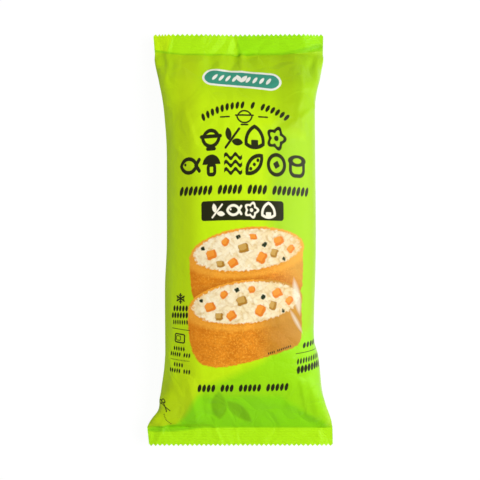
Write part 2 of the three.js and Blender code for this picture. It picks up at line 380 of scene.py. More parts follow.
FOLD_ENDS = 5.0  # over this length a fold rises from nothing
FOLD_SOFTENING = 1  # rounds that smooth the ridges
UPTURNED = 0.5  # the upward part of a normal from which the film takes folds in full


def fold_height(x, y):
    """How far the folds lift the front film at x, y."""
    height = np.zeros_like(x)
    for (x1, y1), (x2, y2), ridge, left, right in FOLDS:
        reach = math.hypot(x2 - x1, y2 - y1)
        ahead_x, ahead_y = (x2 - x1) / reach, (y2 - y1) / reach
        run = (x - x1) * ahead_x + (y - y1) * ahead_y
        aside = math.copysign(1, ahead_y) * ((x - x1) * ahead_y - (y - y1) * ahead_x)
        side = np.where(aside < 0, -aside / left, aside / right)
        ends = smooth(run / FOLD_ENDS) * smooth((reach - run) / FOLD_ENDS)
        height += ridge * ends * np.clip(1 - side, 0, 1)
    return height


def outward(film):
    """The film's normals, which point out of the pack."""
    around = np.roll(film, -1, axis=1) - np.roll(film, 1, axis=1)
    normal = np.cross(around, np.gradient(film, axis=0))
    return normal / np.linalg.norm(normal, axis=-1, keepdims=True)


def folded(film):
    normal = outward(film)
    lift = fold_height(film[..., 0], film[..., 1]) * smooth(normal[..., 2] / UPTURNED)
    return softened(film + lift[..., None] * normal, FOLD_SOFTENING)


# ---- The pack's mesh ----

RIB_PITCH = 1.0  # of the seals' fine ribs
ROWS_PER_RIB = 4
RIB_HEIGHT = 0.05  # up and down from the film's middle
SEAL_SHARE = 0.6  # of the solid's seal thickness
COLUMNS_PER_TOOTH = COLUMNS // (2 * TEETH)
SHARP_ANGLE = 50  # between two faces that meet in a hard edge
SEAL_LEVEL = 16.5  # the height about which a seal waves
WAVE_SHARE = 0.25  # of the solid's wave
WAVE_REACH = 25.0  # from a seal, the film takes part in the change


def seal_rings(way):
    """Rings of a flat seal, from the open film outwards, the last one cut to teeth."""
    join = TOP_JOIN if way > 0 else BOTTOM_JOIN
    root = way * (SEAL_END - TOOTH_DEPTH)
    count = round(abs(root - join) / RIB_PITCH * ROWS_PER_RIB)
    rings = []
    for k, y in enumerate(np.linspace(join, root, count + 1)):
        ring = even_section(y)
        middle = (ring[:, 2] + ring[BEHIND, 2]) / 2
        z = SEAL_SHARE * (ring[:, 2] - middle)
        z += SEAL_LEVEL + WAVE_SHARE * (middle - SEAL_LEVEL)
        z += RIB_HEIGHT * math.sin(2 * math.pi * k / ROWS_PER_RIB)
        ring[:, 2] = z + fold_height(ring[:, 0], ring[:, 1])
        rings.append(ring)
    teeth = rings[-1].copy()
    way_up = 1 - abs(2 * (np.arange(COLUMNS) % COLUMNS_PER_TOOTH) / COLUMNS_PER_TOOTH - 1)
    teeth[:, 1] += way * TOOTH_DEPTH * way_up
    return rings + [teeth]


def joined_to_seals(film, bottom, top):
    """The film with its ends moved to the seals, and what lies near them moved along."""
    run = np.linspace(0, FILM_LENGTH, ROWS + 1)[:, None, None]
    to_bottom = smooth(1 - run / WAVE_REACH) * (bottom - film[0])
    to_top = smooth(1 - run[::-1] / WAVE_REACH) * (top - film[-1])
    return film + to_bottom + to_top


def pack_rings():
    """All rings of the pack, from its bottom teeth to its top teeth, and their v."""
    bottom, top = seal_rings(-1), seal_rings(1)
    film = joined_to_seals(solid_film(), bottom[0], top[0])
    film = folded(buckled(film))
    v = np.linspace(-JOIN, JOIN, ROWS + 1)
    v_bottom = [-JOIN + ring[:, 1] - BOTTOM_JOIN for ring in bottom[:0:-1]]
    v_top = [JOIN + ring[:, 1] - TOP_JOIN for ring in top[1:]]
    v_film = np.repeat(v[:, None], COLUMNS, axis=1)
    return np.array([*bottom[:0:-1], *film, *top[1:]]), np.array([*v_bottom, *v_film, *v_top])


def placed(name, data, place=(0, 0, 0)):
    """A new object in the scene, at a place in m."""
    made = bpy.data.objects.new(name, data)
    made.location = place
    bpy.context.scene.collection.objects.link(made)
    return made


def mesh_object(name, places, faces):
    mesh = bpy.data.meshes.new(name)
    mesh.from_pydata((np.asarray(places) * MM).tolist(), [], faces)
    mesh.update()
    mesh.shade_smooth()
    mesh.set_sharp_from_angle(angle=math.radians(SHARP_ANGLE))
    return placed(name, mesh)


def end_faces(ring, at_top):
    """Faces that close an end between the front film and the back film."""
    faces = []
    for k in range(-COLUMNS // 4, COLUMNS // 4):
        front = ring[k], ring[(k + 1) % COLUMNS]
        back = ring[BEHIND[(k + 1) % COLUMNS]], ring[BEHIND[k]]
        loop = dict.fromkeys(int(i) for i in (*front, *back))
        faces.append(list(loop) if at_top else list(loop)[::-1])
    return faces


def put_on(mesh, name, corners):
    """Adds a UV map with one place for each corner of each face."""
    layer = mesh.uv_layers.new(name=name)
    layer.data.foreach_set("uv", np.asarray(corners, dtype=np.float32).ravel())


FRONT_HALF = 58.0  # half width of the film that the bake map draws larger
FRONT_SHARE = 0.8  # of the bake map's width
MAP_EDGE = 0.005  # left free around the bake map


def bake_places(places):
    """Film coordinates squeezed into the unit square, with more of it for the front."""
    u, v = places[:, 0], places[:, 1]
    shares = [0, (1 - FRONT_SHARE) / 2, (1 + FRONT_SHARE) / 2, 1]
    across = np.interp(u, [-GIRTH / 2, -FRONT_HALF, FRONT_HALF, GIRTH / 2], shares)
    up = (v - v.min()) / np.ptp(v)
    return MAP_EDGE + (1 - 2 * MAP_EDGE) * np.column_stack([across, up])


def film_pack(rings, v):
    count = len(rings)
    index = np.arange(count * COLUMNS).reshape(count, COLUMNS)
    right = np.roll(index, -1, axis=1)
    quads = np.stack([index[:-1], right[:-1], right[1:], index[1:]], axis=-1).reshape(-1, 4)
    ends = end_faces(index[0], False) + end_faces(index[-1], True)
    made = mesh_object("film_pack", rings.reshape(-1, 3), quads.tolist() + ends)
    # The back's middle column is at both ends of u, so u belongs to a face's corner.
    u = PITCH * np.arange(COLUMNS)
    u = np.where(u < GIRTH / 2, u, u - GIRTH)
    quad_u = np.tile(u, count - 1)[:, None] + PITCH * np.array([0, 1, 1, 0])
    quad_v = v.reshape(-1)[quads]
    end_index = np.array([i for face in ends for i in face])
    end_places = np.column_stack([u[end_index % COLUMNS], v.reshape(-1)[end_index]])
    corners = np.vstack([np.stack([quad_u, quad_v], axis=-1).reshape(-1, 2), end_places])
    put_on(made.data, "film", corners)
    put_on(made.data, "OFBake", bake_places(corners))
    return made


SEAM_COLUMNS = round(SEAM_WIDTH / PITCH)
SEAM_CLEAR = 0.12  # between the back film and the seam folded against it
EDGE_WAVE = 0.35  # how far the seam's free edge strays
EDGE_WAVES = ((7.0, 0.0), (3.1, 1.0))  # the length of a radian and the phase of each wave
SEAM_RIB = 0.06  # how high its own ribs are, up and down from their middle


def round_strip(near, far):
    """Closed loops from two strips: out along one and back along the other."""
    return np.concatenate([near, far[:, ::-1]], axis=1)


def strip_faces(index):
    """Faces round a stack of such loops, and faces that close both of its ends."""
    after = np.roll(index, -1, axis=1)
    around = np.stack([index[:-1], index[1:], after[1:], after[:-1]], axis=-1).reshape(-1, 4)
    k = np.arange(SEAM_COLUMNS)
    low, high = index[0], index[-1]
    low_end = np.stack([low[k], low[k + 1], low[-k - 2], low[-k - 1]], axis=-1)
    high_end = np.stack([high[-k - 1], high[-k - 2], high[k + 1], high[k]], axis=-1)
    return np.vstack([around, low_end, high_end])


def back_seam(rings, v):
    """The fin seam: two films sealed face to face and folded flat against the back."""
    rings, v = rings[1:-1], v[1:-1]  # without the teeth
    columns = np.arange(COLUMNS // 2, COLUMNS // 2 - SEAM_COLUMNS - 1, -1)
    strip, out = rings[:, columns], outward(rings)[:, columns]
    share = np.linspace(0, 1, len(columns))[None, :, None]
    stray = sum(np.sin(strip[..., 1:2] / length + phase) for length, phase in EDGE_WAVES)
    strip = strip + np.array([EDGE_WAVE, 0, 0]) * stray * share**4 / len(EDGE_WAVES)
    rib = SEAM_RIB * np.sin(2 * np.pi * share * SEAM_WIDTH / RIB_PITCH)
    loop = round_strip(strip + SEAM_CLEAR * out, strip + (SEAM_STEP - SEAM_RIB + rib) * out)
    strip_v = v[:, columns]
    film_places = np.stack([np.broadcast_to(PITCH * columns, strip_v.shape), strip_v], axis=-1)
    film_places = round_strip(film_places, film_places).reshape(-1, 2)
    faces = strip_faces(np.arange(loop.shape[0] * loop.shape[1]).reshape(loop.shape[:2]))
    made = mesh_object("back_seam", loop.reshape(-1, 3), faces.tolist())
    put_on(made.data, "film", film_places[faces.reshape(-1)])
    return made


# ---- Arithmetic in shader nodes ----

class Wire:
    """What comes out of a shader node."""

    def __init__(self, socket):
        self.socket = socket


class Value(Wire):
    """A number or a colour worked out by shader nodes."""

    def __add__(self, other):
        return calculated("ADD", self, other)

    def __sub__(self, other):
        return calculated("SUBTRACT", self, other)

    def __rsub__(self, other):
        return calculated("SUBTRACT", other, self)

    def __mul__(self, other):
        return calculated("MULTIPLY", self, other)

    def __neg__(self):
        return self * -1

    def __abs__(self):
        return calculated("ABSOLUTE", self)


def wired(kind, inputs, output=0, **settings):
    """A new node's output socket. Its inputs are numbers, tuples, Wires and None."""
    tree = next(given.socket.id_data for given in inputs if isinstance(given, Wire))
    node = tree.nodes.new(kind)
    for name, setting in settings.items():
        setattr(node, name, setting)
    for socket, given in zip(node.inputs, inputs):
        if isinstance(given, Wire):
            tree.links.new(given.socket, socket)
        elif given is not None:
            socket.default_value = given
    return node.outputs[output]


def calculated(operation, *inputs, clamped=False):
    return Value(wired("ShaderNodeMath", inputs, operation=operation, use_clamp=clamped))


def moved(operation, *inputs):
    return Place(wired("ShaderNodeVectorMath", inputs, operation=operation))


class Place(Wire):
    """A point in mm, worked out by shader nodes."""

    def changed(self, operation, by=(0, 0)):
        return moved(operation, self, (*by, 0))

    def __sub__(self, by):
        return self.changed("SUBTRACT", by)

    def __mul__(self, by):
        return self.changed("MULTIPLY", by)

    def __abs__(self):
        return self.changed("ABSOLUTE")

    def turned(self, degrees):
        """The point as a shape that is turned left by so many degrees sees it."""
        if degrees == 0:
            return self
        inputs = [self, None, None, -math.radians(degrees)]
        return Place(wired("ShaderNodeVectorRotate", inputs, rotation_type="Z_AXIS"))

    def length(self):
        return Value(wired("ShaderNodeVectorMath", [self], 1, operation="LENGTH"))

    @cached_property
    def parts(self):
        x = wired("ShaderNodeSeparateXYZ", [self])
        return Value(x), Value(x.node.outputs[1])

    @property
    def x(self):
        return self.parts[0]

    @property
    def y(self):
        return self.parts[1]


# ---- Shapes ----

# A shape is the distance to its edge in mm, negative inside it.

EDGE_BLUR = 0.3  # of the print


def joined(*shapes):
    return reduce(lambda a, b: calculated("MINIMUM", a, b), shapes)


def overlap(*shapes):
    return reduce(lambda a, b: calculated("MAXIMUM", a, b), shapes)


def line(shape, width):
    """The shape's outline, drawn so wide."""
    return abs(shape) - width / 2


def disc(place, centre, radius):
    return (place - centre).length() - radius


def oval(place, centre, width, height, turn=0):
    scaled = (place - centre).turned(turn) * (2 / width, 2 / height)
    return (scaled.length() - 1) * (min(width, height) / 2)


def box(place, centre, width, height, corner, turn=0):
    past = abs((place - centre).turned(turn)) - (width / 2 - corner, height / 2 - corner)
    return past.changed("MAXIMUM").length() - corner


def bar(place, start, end, width):
    """A stroke with round ends."""
    (x1, y1), (x2, y2) = start, end
    middle = ((x1 + x2) / 2, (y1 + y2) / 2)
    turn = math.degrees(math.atan2(y2 - y1, x2 - x1))
    return box(place, middle, math.dist(start, end) + width, width, width / 2, turn)


def leaf(place, centre, length, width, turn=0):
    """Two arcs that meet in two points."""
    radius = (length**2 + width**2) / (4 * width)
    aside = abs((place - centre).turned(turn)) - (0, width / 2 - radius)
    return aside.length() - radius


def below(place, y):
    return place.y - y


def above(place, y):
    return y - place.y


def right_of(place, start, end):
    """All that is to the right of the line from start to end."""
    turn = math.degrees(math.atan2(end[1] - start[1], end[0] - start[0]))
    return (place - start).turned(turn).y


def covered(shape, blur=EDGE_BLUR):
    """How much of the surface a shape covers: 1 inside it and 0 outside."""
    return calculated("MULTIPLY_ADD", shape, -1 / blur, 0.5, clamped=True)


# ---- Motifs ----

# Each motif is drawn about 12 mm wide and high round (0, 0), with strokes as wide as given.

STROKE = 2.1


def bowl(place, stroke):
    cup = overlap(line(disc(place, (0, 1.2), 5.4), stroke), below(place, 1.2))
    rim = bar(place, (-6.2, 1.2), (6.2, 1.2), stroke)
    foot = bar(place, (-2.2, -5.6), (2.2, -5.6), stroke)
    rice = overlap(line(disc(place, (0, -0.6), 5.0), stroke), above(place, 1.2))
    return joined(cup, rim, foot, rice)


def sprig(place, stroke):
    stem = bar(place, (-4.6, -5.4), (4.2, 4.6), stroke * 0.7)
    left = leaf(place, (-2.7, 1.9), 7.4, 3.9, 100)
    right = leaf(place, (3.0, -2.6), 7.4, 3.9, -8)
    return joined(stem, left, right)


def rice_ball(place, stroke):
    corner = [disc(place, (4.2 * math.cos(a), -0.5 + 4.2 * math.sin(a)), 9.2)
              for a in (math.pi / 2, math.pi * 7 / 6, math.pi * 11 / 6)]
    sheet = box(place, (0, -3.6), 4.6, 4.4, 0.6)
    return joined(line(overlap(*corner), stroke), sheet)


def blossom(place, stroke):
    angle = calculated("ARCTAN2", place.y, place.x)
    petals = place.length() - (calculated("COSINE", angle * 5) * 0.9 + 4.9)
    return joined(line(petals, stroke), disc(place, (0, 0), 1.5))


def fish(place, stroke):
    body = line(leaf(place, (-1.0, 0), 10.6, 7.4), stroke)
    tail = [bar(place, (3.8, 0), (6.0, way * 3.0), stroke) for way in (1, -1)]
    return joined(body, *tail, disc(place, (-3.4, 0.7), 0.8))


def mushroom(place, stroke):
    cap = overlap(disc(place, (0, -0.6), 5.9), above(place, 0.0))
    stem = line(box(place, (0, -2.8), 4.2, 5.2, 1.4), stroke)
    return joined(cap, stem)


def waves(place, stroke):
    height = calculated("SINE", place.x * 1.05) * 1.1
    lines = [abs(place.y - y - height) - stroke / 2 for y in (-3.9, 0.0, 3.9)]
    return overlap(joined(*lines), box(place, (0, 0), 11.6, 12.6, 1.0))


def roll(place, stroke):
    return joined(line(disc(place, (0, 0), 5.3), stroke), box(place, (0, 0), 3.4, 3.4, 0.6, 30))


def pea_pod(place, stroke):
    pod = line(leaf(place, (-0.4, -0.4), 13.2, 6.6, 45), stroke)
    peas = [disc(place, (x - 0.4, x - 0.4), 1.0) for x in (-2.3, 0.0, 2.3)]
    return joined(pod, *peas)


def pocket(place, stroke):
    opening = line(oval(place, (0, 2.9), 9.4, 4.6), stroke * 0.8)
    wall = overlap(line(box(place, (0, -0.4), 9.4, 9.6, 3.2), stroke), below(place, 2.9))
    return joined(opening, wall)


def motif_row(place, motifs, start, end, wide, high):
    """Motifs scaled so wide and so high, evenly spaced from start to end."""
    drawn = []
    for k, motif in enumerate(motifs):
        share = k / (len(motifs) - 1)
        centre = [a + share * (b - a) for a, b in zip(start, end)]
        local = (place - centre) * (1 / wide, 1 / high)
        drawn.append(motif(local, STROKE) * wide)
    return joined(*drawn)


ROW_REACH = 400.0  # longer than the film, so that a row's grains are one deep


def grain_row(place, start, end, count, grain, lean, gaps=()):
    """A row of leaning grains, with the grains numbered in gaps left out."""
    (x1, y1), (x2, y2) = start, end
    width, height = grain
    reach = math.dist(start, end)
    tile = (reach / count, ROW_REACH)
    along = (place - start).turned(math.degrees(math.atan2(y2 - y1, x2 - x1)))
    cell = (along * (1 / tile[0], 1 / tile[1]) - (0, 0.5)).changed("FRACTION") - (0.5, 0.5)
    grains = oval(cell * tile, (0, 0), width, height, -lean)
    row = overlap(grains, abs(along.x - reach / 2) - reach / 2)
    for gap in gaps:
        row = overlap(row, -(abs(along.x - tile[0] * (gap + 0.5)) - tile[0] / 2))
    return row


# ---- The print ----

def linear(*srgb):
    """A shader's colour from 8-bit sRGB values above 10."""
    return (*[((c / 255 + 0.055) / 1.055) ** 2.4 for c in srgb], 1)


def lime(red, green, blue=0.004):
    return (red, green, blue, 1)


LIME = lime(0.53, 0.80)
# painted shade: darker on the slope below the top seal
TOP_SHADE_LIME = lime(0.43, 0.68)
# painted shade: darker at the top right of the front
TOP_RIGHT_SHADE_LIME = lime(0.37, 0.58)
# greener and darker on the right: partly a greener print, partly painted shade against the key
# light there; also the back's colour
RIGHT_LIME = lime(0.355, 0.63, 0.008)
# painted shade: darker olive band down the left side and on the lower left facet
LEFT_SHADE_LIME = lime(0.46, 0.66)
# painted light: lighter along the left edge, over the painted shade there
LEFT_EDGE_LIGHT_LIME = lime(0.55, 0.80)
# painted sheen: lighter and whiter along the right edge
RIGHT_EDGE_SHEEN_LIME = lime(0.38, 0.67, 0.02)
LOW_LIME = lime(0.315, 0.69)
# painted shade: the low green a little darker where it meets the right side
LOW_RIGHT_SHADE_LIME = lime(0.305, 0.68)
DEEP_LIME = lime(0.245, 0.68)
SEAL_LIME = lime(0.40, 0.77)
# painted shade: greener and darker on the top seal's right half
SEAL_RIGHT_SHADE_LIME = lime(0.33, 0.75)
# painted light: lighter on the top seal's left corner
SEAL_CORNER_LIGHT_LIME = lime(0.56, 0.87)
# painted shade: dark green in the creases where the seals begin
JOIN_SHADE_LIME = lime(0.24, 0.60)
LEAF_SHADOW = lime(0.20, 0.515)
INK = linear(40, 42, 20)
TEAL = linear(62, 150, 125)
WHITE = linear(240, 238, 228)
CREAM = linear(246, 240, 216)
RICE = linear(238, 216, 164)
RICE_LIGHT = linear(248, 238, 208)
RICE_GAP = linear(206, 166, 96)
CARROT = linear(238, 150, 52)
CARROT_SHADE = linear(226, 126, 36)
BROWN = linear(200, 158, 80)
BROWN_SHADE = linear(168, 120, 40)
SEAWEED = linear(38, 50, 30)
TOFU_LIGHT = linear(246, 176, 62)
TOFU = linear(230, 142, 30)
TOFU_DARK = linear(204, 116, 16)
# the pockets' paler, greyer right ends: partly the pictured tofu, partly painted sheen of the film
# over it
TOFU_END = linear(204, 152, 58)
TOFU_END_SHADE = linear(176, 124, 38)
TOFU_SHADE = linear(176, 96, 14)
# painted highlight: whitish, for the film's reflection
SHEEN = linear(236, 236, 220)


def painted(below_it, colour, share):
    """The colour laid over what is below it, where share is 1."""
    inputs = [share, *[None] * 5, below_it, colour]
    return Value(wired("ShaderNodeMix", inputs, 2, data_type="RGBA"))


def layered(colour, *layers):
    """The colour with layers over it, each a colour and its share."""
    for layer in layers:
        colour = painted(colour, *layer)
    return colour


def ramp(value, low, high):
    """0 where the value is below low, rising to 1 at high."""
    scale = 1 / (high - low)
    return calculated("MULTIPLY_ADD", value, scale, -low * scale, clamped=True)


def body_tints(place):
    """Tints of the open film, each a colour, a shape and how soft its edge is: painted shade and
    painted light on its slopes and edges, and a greener print low down.
    """
    top = right_of(place, (40, 68), (-40, 100))
    top_right = overlap(right_of(place, (22, 0), (24, 100)), above(place, 64))
    inner_right = overlap(right_of(place, (18.5, -100), (18.5, 100)), below(place, 64))
    right = joined(inner_right, right_of(place, (39, -60), (37.5, 110)))
    left = overlap(place.x + 26, joined(-39 - place.x, place.y + 84))
    low = overlap(right_of(place, (-22, -88), (35, -60)), right_of(place, (-33, -107), (-22, -86)))
    deep = overlap(low, below(place, -93.5), right_of(place, (27, -95.8), (56, -117.5)))
    left_edge = overlap(right_of(place, (-53.5, 40), (-48, -100)), above(place, -101))
    return [
        # painted shade on the slope below the top seal
        (TOP_SHADE_LIME, top, 19),
        # painted shade at the top right
        (TOP_RIGHT_SHADE_LIME, top_right, 7),
        # greener print and painted shade on the right side
        (RIGHT_LIME, right, 10),
        # painted shade on the left band and the lower left facet
        (LEFT_SHADE_LIME, left, 8),
        (LOW_LIME, low, 6),
        # painted shade where the low green meets the right side
        (LOW_RIGHT_SHADE_LIME, overlap(low, inner_right), 8),
        (DEEP_LIME, deep, 4),
        # painted light along the left edge
        (LEFT_EDGE_LIGHT_LIME, left_edge, 5),
        # painted sheen along the right edge
        (RIGHT_EDGE_SHEEN_LIME, 53 - place.x, 5),
    ]


def seal_tints(place):
    """The same for the seals, with painted shade on the top seal's right half and in the creases
    where the seals begin, painted light on its left corner, and for the back.
    """
    rise = ramp(abs(place.x + 4), 32, 56) * 2.8  # of the top seal's lower edge at its ends
    inside = overlap(place.y - rise - JOIN, -place.y - JOIN)
    seal = -inside
    seal_right = overlap(seal, -place.x, above(place, 0))
    seal_corner = overlap(seal, -right_of(place, (-46.3, 118), (-42.8, 127)), above(place, 0))
    back = GIRTH / 4 - abs(place.x)
    return [
        (SEAL_LIME, seal, 1.2),
        # painted shade on the top seal's right half
        (SEAL_RIGHT_SHADE_LIME, seal_right, 2),
        # painted light on the top seal's left corner
        (SEAL_CORNER_LIGHT_LIME, seal_corner, 2),
        # painted shade in the creases at the joins: on the top seal's right part, along both
        # joins, and in a fold above the bottom left join
        (JOIN_SHADE_LIME, overlap(seal_right, inside - rise - 0.4), 1.6),
        (JOIN_SHADE_LIME, line(inside + 0.4, 0.8), 1.4),
        (JOIN_SHADE_LIME, leaf(place, (-38, -JOIN), 46, 4.6, 5), 1.2),
        (RIGHT_LIME, back, 4),
        (SEAL_LIME, overlap(seal, back), 1.2),
    ]


def ground(place):
    """Lime that turns greener towards the ends and the right, with painted shade and painted light
    laid over it.
    """
    tints = body_tints(place) + seal_tints(place)
    return layered(LIME, *[(colour, covered(*edge)) for colour, *edge in tints])


def bottom_leaves(place):
    upright = leaf(place, (-13.2, -101.0), 21.0, 9.4, 92)
    leaning = leaf(place, (-0.8, -105.4), 22.0, 8.2, -48)
    return joined(upright, leaning)


def badge(place):
    """The badge near the top: its border, its inside and what is drawn on that."""
    centre, turn = (2.0, 97.8), -7
    border = box(place, centre, 49.5, 13.0, 6.5, turn)
    inner = box(place, centre, 46.7, 10.2, 5.1, turn)
    local = (place - centre).turned(turn)
    grains = grain_row(local, (-18.9, 0), (18.9, 0), 9, (2.0, 5.2), 28, gaps=(4,))
    leaves = [leaf(local, (x, 0.4), 6.6, 2.9, lean) for x, lean in ((1.5, 58), (-1.5, 122))]
    return border, inner, joined(grains, *leaves)


def bent(place, centre, radius, turn=0):
    """The place as seen along an arc: how far round from its top, and how far outside."""
    local = (place - centre).turned(turn)
    angle = calculated("ARCTAN2", local.x, local.y)
    return Place(wired("ShaderNodeCombineXYZ", [angle * radius, local.length() - radius]))


def arc_row(place):
    """Grains along an arc."""
    along = bent(place, (4.0, 26.0), 53.0)
    return grain_row(along, (-28.0, 0), (28.0, 0), 18, (2.1, 4.8), 14, gaps=(9, 11))


def small_icon(place):
    local = place - (3.6, 71.6)
    scaled = local * (1 / 0.84, 1 / 0.84)
    icon = bowl(scaled, 1.2) * 0.84
    dashes = [bar(local, (x, 0.2), (x + 5.2, 0.2), 0.9) for x in (-14.4, 8.6)]
    return joined(icon, *dashes)


def snowflake_and_oven(place):
    flake = abs(place - (-36.7, -34.4))
    spokes = [bar(flake, (0, 0), (2.8 * math.cos(a), 2.8 * math.sin(a)), 0.9)
              for a in (math.radians(30), math.radians(90))]
    tips = [bar(flake, (1.0, 2.1), (0, 1.2), 0.6), bar(flake, (2.3, 0.4), (1.1, 0.6), 0.6)]
    oven = line(box(place, (-37.2, -58.2), 6.4, 5.0, 0.9, -4), 0.8)
    door = line(box(place, (-38.1, -58.1), 2.8, 2.6, 0.5, -4), 0.5)
    return joined(*spokes, *tips, oven, door)


GRAIN_ROWS = [  # start, end, count, size of a grain, lean and gaps
    # below the title, above the bottom leaves and along the lower pocket
    ((-37.2, 29.3), (44.2, 29.0), 27, (2.4, 5.8), 16, (7, 13, 18)),
    ((-26.3, -88.2), (29.6, -87.6), 20, (2.2, 5.2), 12, (4, 8, 14)),
    ((16.5, -66.6), (31.0, -62.4), 13, (0.7, 1.4), 8, (4,)),
    # left of the pockets
    ((-42.2, -40.5), (-31.6, -40.2), 5, (1.6, 3.6), 8),
    ((-43.4, -44.8), (-31.6, -44.2), 6, (1.6, 3.6), 8),
    ((-42.4, -48.8), (-31.6, -48.4), 7, (1.0, 2.8), 0),
    ((-42.0, -64.4), (-33.8, -64.6), 5, (1.1, 2.6), 0),
    ((-44.6, -67.9), (-30.2, -68.3), 9, (1.1, 2.8), 8, (5,)),
    ((-44.0, -71.2), (-30.6, -71.6), 14, (0.5, 0.7), 0),
    ((-41.6, -74.2), (-34.6, -74.4), 4, (1.1, 2.6), 0),
    ((-44.6, -77.8), (-30.2, -78.2), 9, (1.1, 2.8), 8, (5,)),
    # right of them
    ((38.4, -63.0), (52.0, -61.4), 5, (2.0, 3.6), 24),
    ((34.4, -72.4), (53.6, -70.4), 10, (1.3, 3.6), 14),
    ((34.4, -77.6), (53.6, -75.4), 8, (2.2, 4.8), 14),
]
RULES = [((-42.6, -52.4), (-30.6, -53.2)), ((34.1, -67.4), (53.0, -66.2))]


def small_print(place):
    """Rows of grains and two thin rules."""
    rows = [grain_row(place, *row) for row in GRAIN_ROWS]
    return joined(*rows, *[bar(place, start, end, 0.4) for start, end in RULES])


def cut_mark(place):
    """A pair of scissors and a dotted line to cut along."""
    local = (place - (-47.8, -101.8)).turned(-70)
    loops = [line(disc(local, (-3.2, way * 1.3), 1.2), 0.7) for way in (1, -1)]
    blades = [bar(local, (-2.2, way * 0.9), (3.6, way * -1.2), 0.7) for way in (1, -1)]
    dots = bent(place, (-33.6, -100.6), 16.8, 132)
    return joined(*loops, *blades, grain_row(dots, (-5.8, 0), (5.8, 0), 8, (0.7, 0.7), 0))


def black_print(place):
    title_top = (bowl, sprig, rice_ball, blossom)
    title_low = (fish, mushroom, waves, pea_pod, roll, pocket)
    return joined(
        arc_row(place),
        small_icon(place),
        motif_row(place, title_top, (-16.8, 59.4), (22.8, 59.6), 0.93, 1.08),
        motif_row(place, title_low, (-29.8, 44.2), (36.0, 44.0), 0.94, 1.1),
        box(place, (2.0, 17.0), 50.2, 11.6, 1.7),
        snowflake_and_oven(place),
        small_print(place),
        cut_mark(place),
    )


def plate_print(place):
    motifs = (sprig, fish, blossom, rice_ball)
    return motif_row(place, motifs, (-13.2, 17.1), (17.8, 17.1), 0.68, 0.74)


# ---- The pictured food ----

UPPER_POCKET = (5.0, -6.0)  # the middle of its rice
LOWER_POCKET = (4.0, -36.6)
POCKET_TURN = 6.0
RICE_SIZE = (66.0, 23.6)
RIM_SIZE = (71.0, 27.4)
RIM_MIDDLE = (0, -0.6)
WALL_LEFT, WALL_RIGHT = -35.8, 34.6
WALL_BOTTOM = (-15.0, -39.2)
WALL_TURN = 15.6  # of its bottom edge
WALL_CORNER = 44.0
GRAIN = (4.4, 2.0)  # of rice
RAGGED = (2.4, 1.2)  # how wide and how deep the bites out of a pocket's edge are
RICE_RAGGED = 1.6  # both for the edge of the rice
DICE = [  # on the rice: shaded and lit colour, then x, y from its middle, size and turn
    (CARROT_SHADE, CARROT, [
        (-22, -2.6, 6.2, 20), (-13.5, 4.6, 4.8, 50), (-9, -7.6, 5.8, 35), (3.5, 7.6, 4.2, 10),
        (8.6, -4.6, 6.6, 62), (19.0, 5.4, 6.0, 25), (26.6, 1.0, 4.8, 45)]),
    (BROWN_SHADE, BROWN, [
        (-2.6, 1.0, 6.2, 15), (16.2, -1.8, 5.0, 70), (-16.6, -8.2, 4.8, 5)]),
    (SEAWEED, SEAWEED, [
        (-5.6, 7.4, 2.6, 30), (10.4, 3.2, 2.8, 55), (-27.4, 1.0, 2.4, 15),
        (22.4, -5.0, 2.2, 70)]),
]
DICE_TOP = (0.72, 0.12)  # shares of a die's size: its lit top, and how far up that is


def pocket_shape(local):
    """The outline of a pocket: its open rim and the wall below it."""
    rim = oval(local, RIM_MIDDLE, *RIM_SIZE, POCKET_TURN)
    bottom = -(local - WALL_BOTTOM).turned(WALL_TURN).y
    wall = calculated("SMOOTH_MAX", WALL_LEFT - local.x, bottom, WALL_CORNER)
    wall = calculated("SMOOTH_MAX", wall, local.x - WALL_RIGHT, WALL_CORNER / 4)
    return joined(rim, overlap(wall, local.turned(POCKET_TURN).y))


def noise(place, size, detail=2, roughness=0.5):
    """Soft noise about 0.5, with lumps of the size given in mm."""
    inputs = [place, None, 1 / size, detail, roughness]
    return Value(wired("ShaderNodeTexNoise", inputs, noise_dimensions="2D"))


def shaken(place, size, reach):
    """The place moved about at random, by up to half the reach, in lumps of that size."""
    inputs = [place, None, 1 / size, 1]
    tone = Place(wired("ShaderNodeTexNoise", inputs, 1, noise_dimensions="2D"))
    return moved("ADD", place, moved("MULTIPLY_ADD", tone, (reach,) * 3, (-reach / 2,) * 3))


def grains_of_rice(place, local):
    """The colour of packed rice, shaded towards its right end."""
    lit, kinds = [], []
    for turn in (24, -52):
        cells = place.turned(turn) * (1 / GRAIN[0], 1 / GRAIN[1])
        dome = wired("ShaderNodeTexVoronoi", [cells, None, 1.0], voronoi_dimensions="2D")
        lit.append(Value(dome))
        kinds.append(Value(dome.node.outputs["Color"]))
    turn_over = ramp(noise(place, 5.0), 0.48, 0.52)
    far = wired("ShaderNodeMix", [turn_over, None, *lit])
    kind = painted(kinds[0], kinds[1], turn_over)
    colour = painted(RICE, RICE_LIGHT, kind)
    gaps = ramp(Value(far), 0.4, 0.95) * 0.5 + ramp(noise(place, 3.2), 0.5, 0.7) * 0.3
    return painted(colour, RICE_GAP, gaps + ramp(local.x, 6, 30) * 0.4)


def tofu_skin(place, local):
    """The colour of a pocket's fried wall."""
    mottle = ramp(noise(place * (0.6, 1), 5.0, 6, 0.8), 0.38, 0.62)
    specks = ramp(noise(place, 1.3, 3, 0.7), 0.5, 0.66)
    pores = ramp(noise(place, 0.9, 2), 0.62, 0.72)
    return layered(
        TOFU_DARK,
        (TOFU, mottle),
        (TOFU_LIGHT, specks * 0.6),
        (TOFU_SHADE, pores * 0.5),
        (TOFU_DARK, ramp(-local.x, 18, 34) * 0.5),
        # paler right ends: partly the pictured tofu, partly painted sheen
        (TOFU_END, ramp(local.x + local.y * 0.4, 10, 26) * 0.8),
    )


